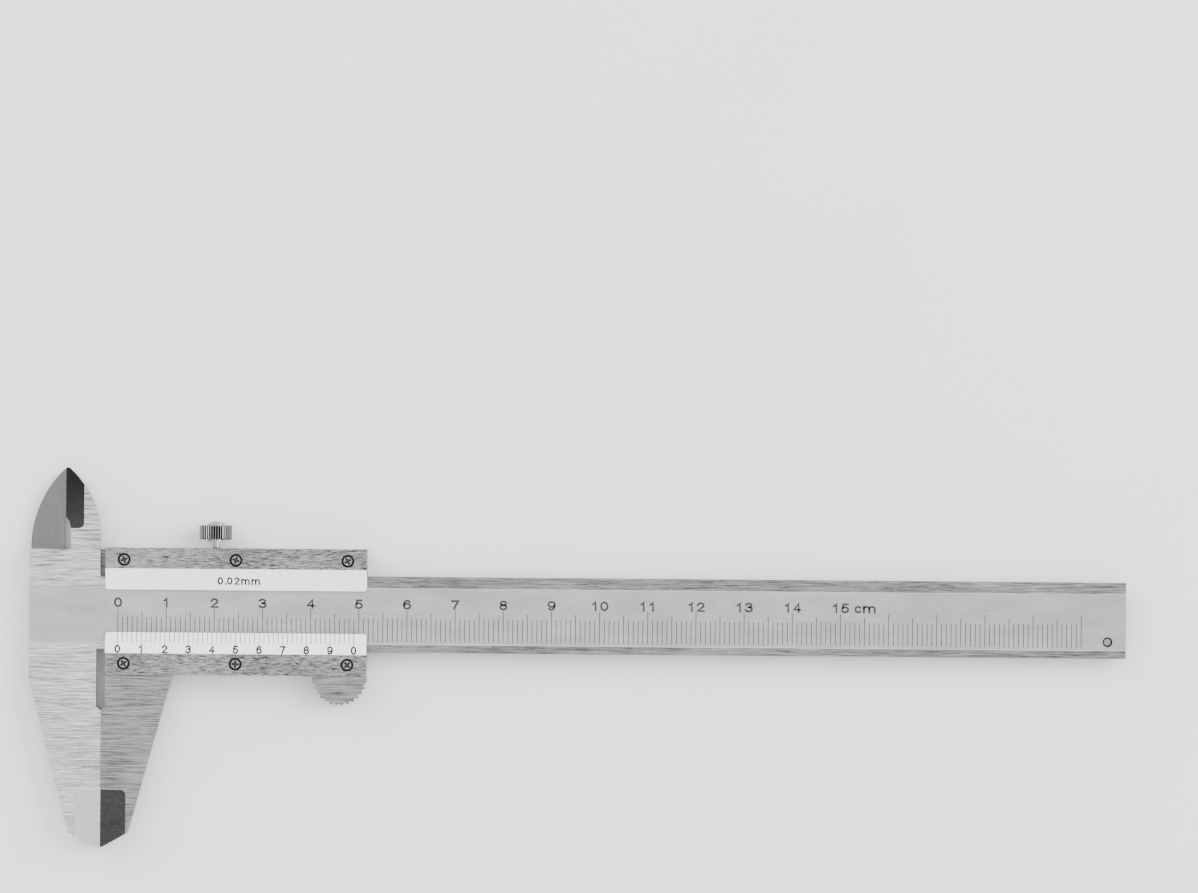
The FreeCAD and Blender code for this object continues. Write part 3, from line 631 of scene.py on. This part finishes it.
@dataclass
class MarkSheet:
    """Thin raised filling of engraved marks, drawn flat and laid onto a face afterwards.

    Drawing units are millimetres: x along the beam, y up the face, z out of it.
    """

    name: str
    thick: float = 0.012
    mesh: bmesh.types.BMesh = field(default_factory=bmesh.new)

    def bar(self, x: float, low: float, high: float, wide: float) -> None:
        """Add one graduation line.

        Args:
            x: its middle.
            low: height of its foot.
            high: height of its top.
            wide: its width.
        """
        middle = Matrix.Translation((x, (low + high) / 2, 0))
        stretch = Matrix.Diagonal((wide, high - low, self.thick, 1))
        bmesh.ops.create_cube(self.mesh, size=1, matrix=middle @ stretch)

    def figures(self, words: str, x: float, base: float, style: Lettering) -> None:
        """Add words centred on x, standing on a base line.

        Args:
            words: figures or a unit.
            x: middle of the words.
            base: height of the base line.
            style: size of the figures.
        """
        widths = [GLYPHS[word][0] * style.wide for word in words]
        left = x - (sum(widths) + style.gap * (len(words) - 1)) / 2
        inset, tall = style.line / 2, style.high - style.line
        for word, wide in zip(words, widths):
            span = max(wide - style.line, 0.0)
            for stroke in GLYPHS[word][1]:
                path = [(left + inset + px * span, base + inset + py * tall) for px, py in stroke]
                self.ribbon([Vector(point) for point in path], style.line)
            left += wide + style.gap

    def ribbon(self, path: list[Vector], wide: float) -> None:
        """Add a flat line of even width along a path, with mitred corners.

        Args:
            path: its middle line, in two dimensions.
            wide: its width.
        """
        closed = (path[0] - path[-1]).length < wide * LOOP_GAP
        steps = [(b - a).normalized() for a, b in zip(path, path[1:])]
        rows = []
        for number, point in enumerate(path):
            before = steps[number - 1] if number or closed else steps[0]
            after = steps[number] if number < len(steps) else steps[0 if closed else -1]
            along = (before + after).normalized()
            reach = wide / 2 / max(along.dot(after), MITRE_LIMIT)
            side = Vector((-along.y, along.x)) * reach
            if number in (0, len(steps)) and not closed:
                point = point + along * (wide / 2 if number else -wide / 2)
            rows.append([
                self.mesh.verts.new((*(point + side * way), level * self.thick / 2))
                for way, level in ((1, -1), (1, 1), (-1, 1), (-1, -1))
            ])
        for first, second in zip(rows, rows[1:]):
            for corner in range(4):
                following = (corner + 1) % 4
                self.mesh.faces.new(
                    (first[corner], first[following], second[following], second[corner])
                )
        if not closed:
            self.mesh.faces.new(rows[0][::-1])
            self.mesh.faces.new(rows[-1])

    def lay(self, onto: Matrix, body: str, material: bpy.types.Material) -> bpy.types.Object:
        """Turn the sheet into a piece.

        Args:
            onto: takes the drawing's millimetres to metres on the face.
            body: CAD body that the piece rides on.
            material: its finish.

        Returns:
            The piece.
        """
        bmesh.ops.recalc_face_normals(self.mesh, faces=self.mesh.faces)
        mesh = bpy.data.meshes.new(self.name)
        self.mesh.to_mesh(mesh)
        self.mesh.free()
        mesh.transform(onto)
        mesh.materials.append(material)
        piece = bpy.data.objects.new(self.name, mesh)
        bpy.context.scene.collection.objects.link(piece)
        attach(piece, body)
        log.info("%s: %d faces on %s", self.name, len(mesh.polygons), body)
        return piece


# ------------------------------------------------------------------------------ sub-assemblies


def paint(node: str, finish: bpy.types.Material) -> bpy.types.Object:
    """Give a whole CAD node one finish.

    Args:
        node: name of the node.
        finish: its material.

    Returns:
        The node's object.
    """
    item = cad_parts[node]
    item.data.materials.clear()
    item.data.materials.append(finish)
    log.info("%s: %s", node, finish.name)
    return item


def paint_faces(
    node: str, finish: bpy.types.Material, test: Callable[[Vector, Vector], bool]
) -> None:
    """Give the faces of a painted node that pass a test a finish of their own.

    Args:
        node: name of the node.
        finish: material of those faces.
        test: takes a face's middle and normal.
    """
    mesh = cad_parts[node].data
    mesh.materials.append(finish)
    number = len(mesh.materials) - 1
    count = 0
    for face in mesh.polygons:
        if test(face.center, face.normal):
            face.material_index = number
            count += 1
    log.info("%s: %d faces in %s", node, count, finish.name)


# Parts of a face's unit normal that tell the surfaces of a node apart.
FACES_UP = 0.9
LIES_FLAT = 0.999
STILL_UP = 0.7
LEAST_LEAN = 0.15
SIDEWAYS = 0.05


def leans(normal: Vector, side: int) -> bool:
    """Whether a face looks up and leans along the beam, to the free end if side is 1."""
    return normal.z > STILL_UP and LEAST_LEAN < normal.x * side and abs(normal.y) < SIDEWAYS


@dataclass
class Datum:
    """Places that the sub-assemblies share, in metres, read from the frame."""

    contact_x: float = 0.0
    line_y: float = 0.0

    @classmethod
    def read(cls) -> "Datum":
        """Find the contact plane of the jaws and the beam's centre line.

        Returns:
            The places.
        """
        plate_low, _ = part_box("upper_cover_plate")
        rod_low, rod_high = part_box("depth_rod")
        return cls(contact_x=plate_low.x - PLATE_START * MM, line_y=(rod_low.y + rod_high.y) / 2)


@dataclass
class Beam:
    """Beam with the fixed jaws, its main scale and the stop screw."""

    datum: Datum
    band_depth: float = 0.1
    band_slack: float = 0.02
    # Reach from the centre line, normal range and sideways limit of the band's sloped sides that get the
    # painted highlight.
    line_reach: float = 6.6
    line_lean: tuple[float, float] = (0.6, 0.8)
    line_sideways: float = 0.1
    zero_x: float = 3.43
    divisions: int = 200
    foot_y: float = -5.65
    long_y: float = 0.95
    middle_y: float = 0.25
    short_y: float = -0.85
    line_wide: float = 0.15
    figure_y: float = 1.1
    last_figure: int = 15
    unit_gap: float = 5.1
    figures: Lettering = Lettering(high=2.05, wide=1.72, line=0.42, gap=0.2)

    def build(self) -> None:
        """Dress the beam and engrave its scale."""
        _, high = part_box("main_beam")
        band_z = high.z - self.band_depth * MM
        paint("main_beam", BEAM_GROUND.make())
        paint_faces(
            "main_beam",
            BEAM_SATIN.make(),
            lambda middle, normal: normal.z > FACES_UP
            and abs(middle.z - band_z) < self.band_slack * MM,
        )
        # Painted highlight on the sloped sides of the scale band.
        paint_faces(
            "main_beam",
            BAND_EDGE_HIGHLIGHT.make(),
            lambda middle, normal: self.line_lean[0] < normal.z < self.line_lean[1]
            and abs(normal.x) < self.line_sideways
            and abs(middle.y - self.datum.line_y) < self.line_reach * MM,
        )
        # Painted highlight on the beam's bevels that lean towards the free end, at the fixed outer jaw's
        # tip.
        paint_faces("main_beam", BEVEL_HIGHLIGHT.make(), lambda middle, normal: leans(normal, 1))
        # Painted shade on the beam's bevels that lean towards the fixed end, on the fixed inner jaw.
        paint_faces("main_beam", INNER_BEVEL_SHADE.make(), lambda middle, normal: leans(normal, -1))
        paint("stop_screw", SCREW_STEEL.make())
        self.engrave(band_z)

    def engrave(self, level: float) -> None:
        """Lay the main scale on the band.

        Args:
            level: height of the band in metres.
        """
        onto = Matrix.Translation((self.datum.contact_x, self.datum.line_y, level)) @ Matrix.Scale(MM, 4)
        ink = BEAM_INK.make()
        lines = MarkSheet("main_scale_lines")
        for number in range(self.divisions + 1):
            top = self.short_y
            if number % 5 == 0:
                top = self.middle_y
            if number % 10 == 0:
                top = self.long_y
            lines.bar(self.zero_x + number, self.foot_y, top, self.line_wide)
        lines.lay(onto, "beam", ink)
        figures = MarkSheet("main_scale_figures")
        for number in range(self.last_figure + 1):
            figures.figures(str(number), self.zero_x + 10 * number, self.figure_y, self.figures)
        unit_x = self.zero_x + 10 * self.last_figure + self.unit_gap
        figures.figures("cm", unit_x, self.figure_y, self.figures)
        figures.lay(onto, "beam", ink)


@dataclass
class FrontPlate:
    """Front plate with a brushed strip, a satin bevel and the marks on that bevel."""

    node: str
    datum: Datum
    bend_y: float
    edge_y: float
    drop: float = 1.15

    def slope(self) -> Matrix:
        """Transform from a drawing in millimetres to the bevel.

        Returns:
            Matrix that keeps the drawing's y equal to the plate's y on the bevel.
        """
        _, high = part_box(self.node)
        rise = self.drop / (self.bend_y - self.edge_y)
        angle = math.atan(rise)
        hinge = Vector((self.datum.contact_x, self.datum.line_y + self.bend_y * MM, high.z))
        stretch = Matrix.Diagonal((1, 1 / math.cos(angle), 1, 1))
        return (
            Matrix.Translation(hinge)
            @ Matrix.Rotation(angle, 4, "X")
            @ Matrix.Scale(MM, 4)
            @ stretch
            @ Matrix.Translation((0, -self.bend_y, 0))
        )

    def dress(self, strip: bpy.types.Material, satin: bpy.types.Material) -> None:
        """Brush the strip and give the bevel its satin.

        Args:
            strip: material of the flat strip.
            satin: material of the bevel.
        """
        paint(self.node, strip)
        limits = sorted((self.bend_y, self.edge_y))
        low, high = (self.datum.line_y + limit * MM for limit in limits)
        paint_faces(
            self.node,
            satin,
            lambda middle, normal: FACES_UP < normal.z < LIES_FLAT and low < middle.y < high,
        )


@dataclass
class Slider:
    """Slider with its front plates, screws, gib, depth rod and the vernier."""

    datum: Datum
    vernier_zero: float = 3.44
    vernier_span: float = 49.0
    vernier_parts: int = 50
    line_top: float = -4.05
    short_foot: float = -6.15
    long_foot: float = -6.65
    line_wide: float = 0.13
    figure_base: float = -8.36
    vernier_figures: Lettering = Lettering(high=1.7, wide=1.22, line=0.34, gap=0.2)
    reading_figures: Lettering = Lettering(high=1.6, wide=1.17, line=0.33, gap=0.3)
    cross_half: float = 0.8
    sink_half: float = 1.4
    sunk_from: float = 0.03
    sunk_to: float = 1.0
    reading_x: float = 28.5
    reading_y: float = 5.95
    arm_foot: float = 12.0
    knurl_skin: float = 0.06
    knurl_floor: float = 0.85
    knurl_level: float = 0.3

    def build(self) -> None:
        """Dress every piece of the slider and engrave the plates."""
        jaw_line = self.datum.contact_x
        arm_y = self.datum.line_y + self.arm_foot * MM
        paint("slider_frame", SLIDER_GROUND.make())
        paint_faces(
            "slider_frame",
            INNER_JAW_GROUND.make(),
            lambda middle, normal: middle.x < jaw_line and middle.y > arm_y,
        )
        # Painted shade on the slider frame's bevels that lean towards the fixed end.
        paint_faces("slider_frame", BEVEL_SHADE.make(), lambda middle, normal: leans(normal, -1))
        strip, satin = PLATE_STRIP.make(), PLATE_SATIN.make()
        upper = FrontPlate("upper_cover_plate", self.datum, bend_y=9.2, edge_y=4.8)
        lower = FrontPlate("vernier_plate", self.datum, bend_y=-8.4, edge_y=-4.05)
        for plate in (upper, lower):
            plate.dress(strip, satin)
        self.dress_small()
        ink = PLATE_INK.make()
        self.engrave_vernier(lower, ink)
        reading = MarkSheet("reading_figures")
        reading.figures("0.02mm", self.reading_x, self.reading_y, self.reading_figures)
        reading.lay(upper.slope(), "slider", ink)

    def dress_small(self) -> None:
        """Dress the screws, rivets, gib strip, depth rod and lock screw, with painted shade in the screw
        recesses and the knurl grooves.
        """
        screw, plain, recess = SCREW_STEEL.make(), PLAIN_GROUND.make(), RECESS_SHADE.make()
        for row, plate in (("upper", "upper_cover_plate"), ("lower", "vernier_plate")):
            for number in (1, 2, 3):
                node = f"{row}_plate_screw_{number}"
                paint(node, screw)
                # Painted shade in the cross recess and in the plate's counterbore round the head.
                self.darken(node, node, self.cross_half, recess)
                self.darken(plate, node, self.sink_half, recess)
        for number in (1, 2):
            paint(f"gib_set_screw_{number}", screw)
            paint(f"depth_rod_rivet_{number}", plain)
        for node in ("gib_strip", "depth_rod"):
            paint(node, plain)
        paint("lock_screw", NICKEL.make())
        low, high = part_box("lock_screw")
        axis_x, axis_z = (low.x + high.x) / 2, (low.z + high.z) / 2
        groove = (high.x - axis_x) - self.knurl_skin * MM

        def grooved(middle: Vector, normal: Vector) -> bool:
            """Whether a face is a flank of a knurl groove."""
            away = math.hypot(middle.x - axis_x, middle.z - axis_z)
            return groove * self.knurl_floor < away < groove and abs(normal.y) < self.knurl_level

        # Painted shade on the flanks of the knurl grooves.
        paint_faces("lock_screw", KNURL_GROOVE_SHADE.make(), grooved)

    def darken(self, node: str, screw: str, reach: float, finish: bpy.types.Material) -> None:
        """Paint shade on the sunk faces near the middle of a screw, in its cross recess and in the
        counterbore round its head.

        Args:
            node: the screw itself or the plate round it.
            screw: the screw whose middle counts.
            reach: how far from the middle, in millimetres.
            finish: material of the painted shade.
        """
        low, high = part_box(screw)
        x, y = (low.x + high.x) / 2, (low.y + high.y) / 2
        paint_faces(
            node,
            finish,
            lambda middle, normal: math.hypot(middle.x - x, middle.y - y) < reach * MM
            and high.z - self.sunk_to * MM < middle.z < high.z - self.sunk_from * MM,
        )

    def engrave_vernier(self, plate: FrontPlate, ink: bpy.types.Material) -> None:
        """Lay the vernier's lines and figures on the lower plate's bevel."""
        sheet = MarkSheet("vernier_marks")
        step = self.vernier_span / self.vernier_parts
        for number in range(self.vernier_parts + 1):
            foot = self.long_foot if number % 5 == 0 else self.short_foot
            x = self.vernier_zero + number * step
            sheet.bar(x, foot, self.line_top, self.line_wide)
            if number % 5 == 0:
                label = str(number // 5 % 10)
                sheet.figures(label, x, self.figure_base, self.vernier_figures)
        sheet.lay(plate.slope(), "slider", ink)


# ---------------------------------------------------------------------------------- the set


@dataclass(frozen=True)
class Lamp:
    """Soft rectangular light aimed at the caliper."""

    name: str
    place: tuple[float, float, float]
    size: tuple[float, float]
    power: float

    def build(self) -> None:
        """Hang the light."""
        light = bpy.data.lights.new(self.name, "AREA")
        light.shape = "RECTANGLE"
        light.size, light.size_y = self.size
        light.energy = self.power
        lamp = bpy.data.objects.new(self.name, light)
        lamp.location = self.place
        lamp.rotation_mode = "QUATERNION"
        lamp.rotation_quaternion = (-Vector(self.place)).to_track_quat("-Z", "Y")
        bpy.context.scene.collection.objects.link(lamp)
        log.info("%s: %.1f W", self.name, self.power)


@dataclass
class Studio:
    """Floor, lights and camera."""

    datum: Datum
    floor_half: float = 1.5
    floor_gap: float = 0.02
    aim: tuple[float, float] = (103.0, 35.3)
    frame_wide: float = 248.7
    distance: float = 1800.0
    roll: float = 0.0085
    sensor: float = 36.0
    world: float = 1.7
    lamps: tuple[Lamp, ...] = (
        Lamp("key_light", (0.95, 0.35, 0.75), (0.8, 0.9), 18.0),
        Lamp("fill_light", (-0.85, 0.75, 0.80), (0.8, 0.9), 10.0),
    )

    def build(self) -> None:
        """Set up everything round the caliper."""
        self.lay_floor()
        for lamp in self.lamps:
            lamp.build()
        world = bpy.data.worlds.new("studio")
        world.use_nodes = True
        background = world.node_tree.nodes["Background"]
        background.inputs["Color"].default_value = (*WHITE, 1.0)
        background.inputs["Strength"].default_value = self.world
        bpy.context.scene.world = world
        self.set_camera()

    def lay_floor(self) -> None:
        """Lay the floor just under the slider's back."""
        half = self.floor_half
        mesh = bpy.data.meshes.new("floor")
        level = CAD_BOX[0].z - self.floor_gap * MM
        corners = [(-half, -half, level), (half, -half, level), (half, half, level), (-half, half, level)]
        mesh.from_pydata(corners, [], [(0, 1, 2, 3)])
        mesh.materials.append(FLOOR.make())
        floor = bpy.data.objects.new("floor", mesh)
        bpy.context.scene.collection.objects.link(floor)

    def set_camera(self) -> None:
        """Look straight down at the scale face."""
        lens = bpy.data.cameras.new("camera")
        lens.sensor_width = self.sensor
        lens.lens = self.sensor * self.distance / self.frame_wide
        camera = bpy.data.objects.new("camera", lens)
        _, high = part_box("main_beam")
        camera.location = (
            self.datum.contact_x + self.aim[0] * MM,
            self.datum.line_y + self.aim[1] * MM,
            high.z + self.distance * MM,
        )
        camera.rotation_euler = (0.0, 0.0, self.roll)
        bpy.context.scene.collection.objects.link(camera)
        bpy.context.scene.camera = camera


def main() -> None:
    """Dress the caliper and set the studio."""
    datum = Datum.read()
    Beam(datum).build()
    Slider(datum).build()
    Studio(datum).build()


if __name__ == "__main__":
    main()
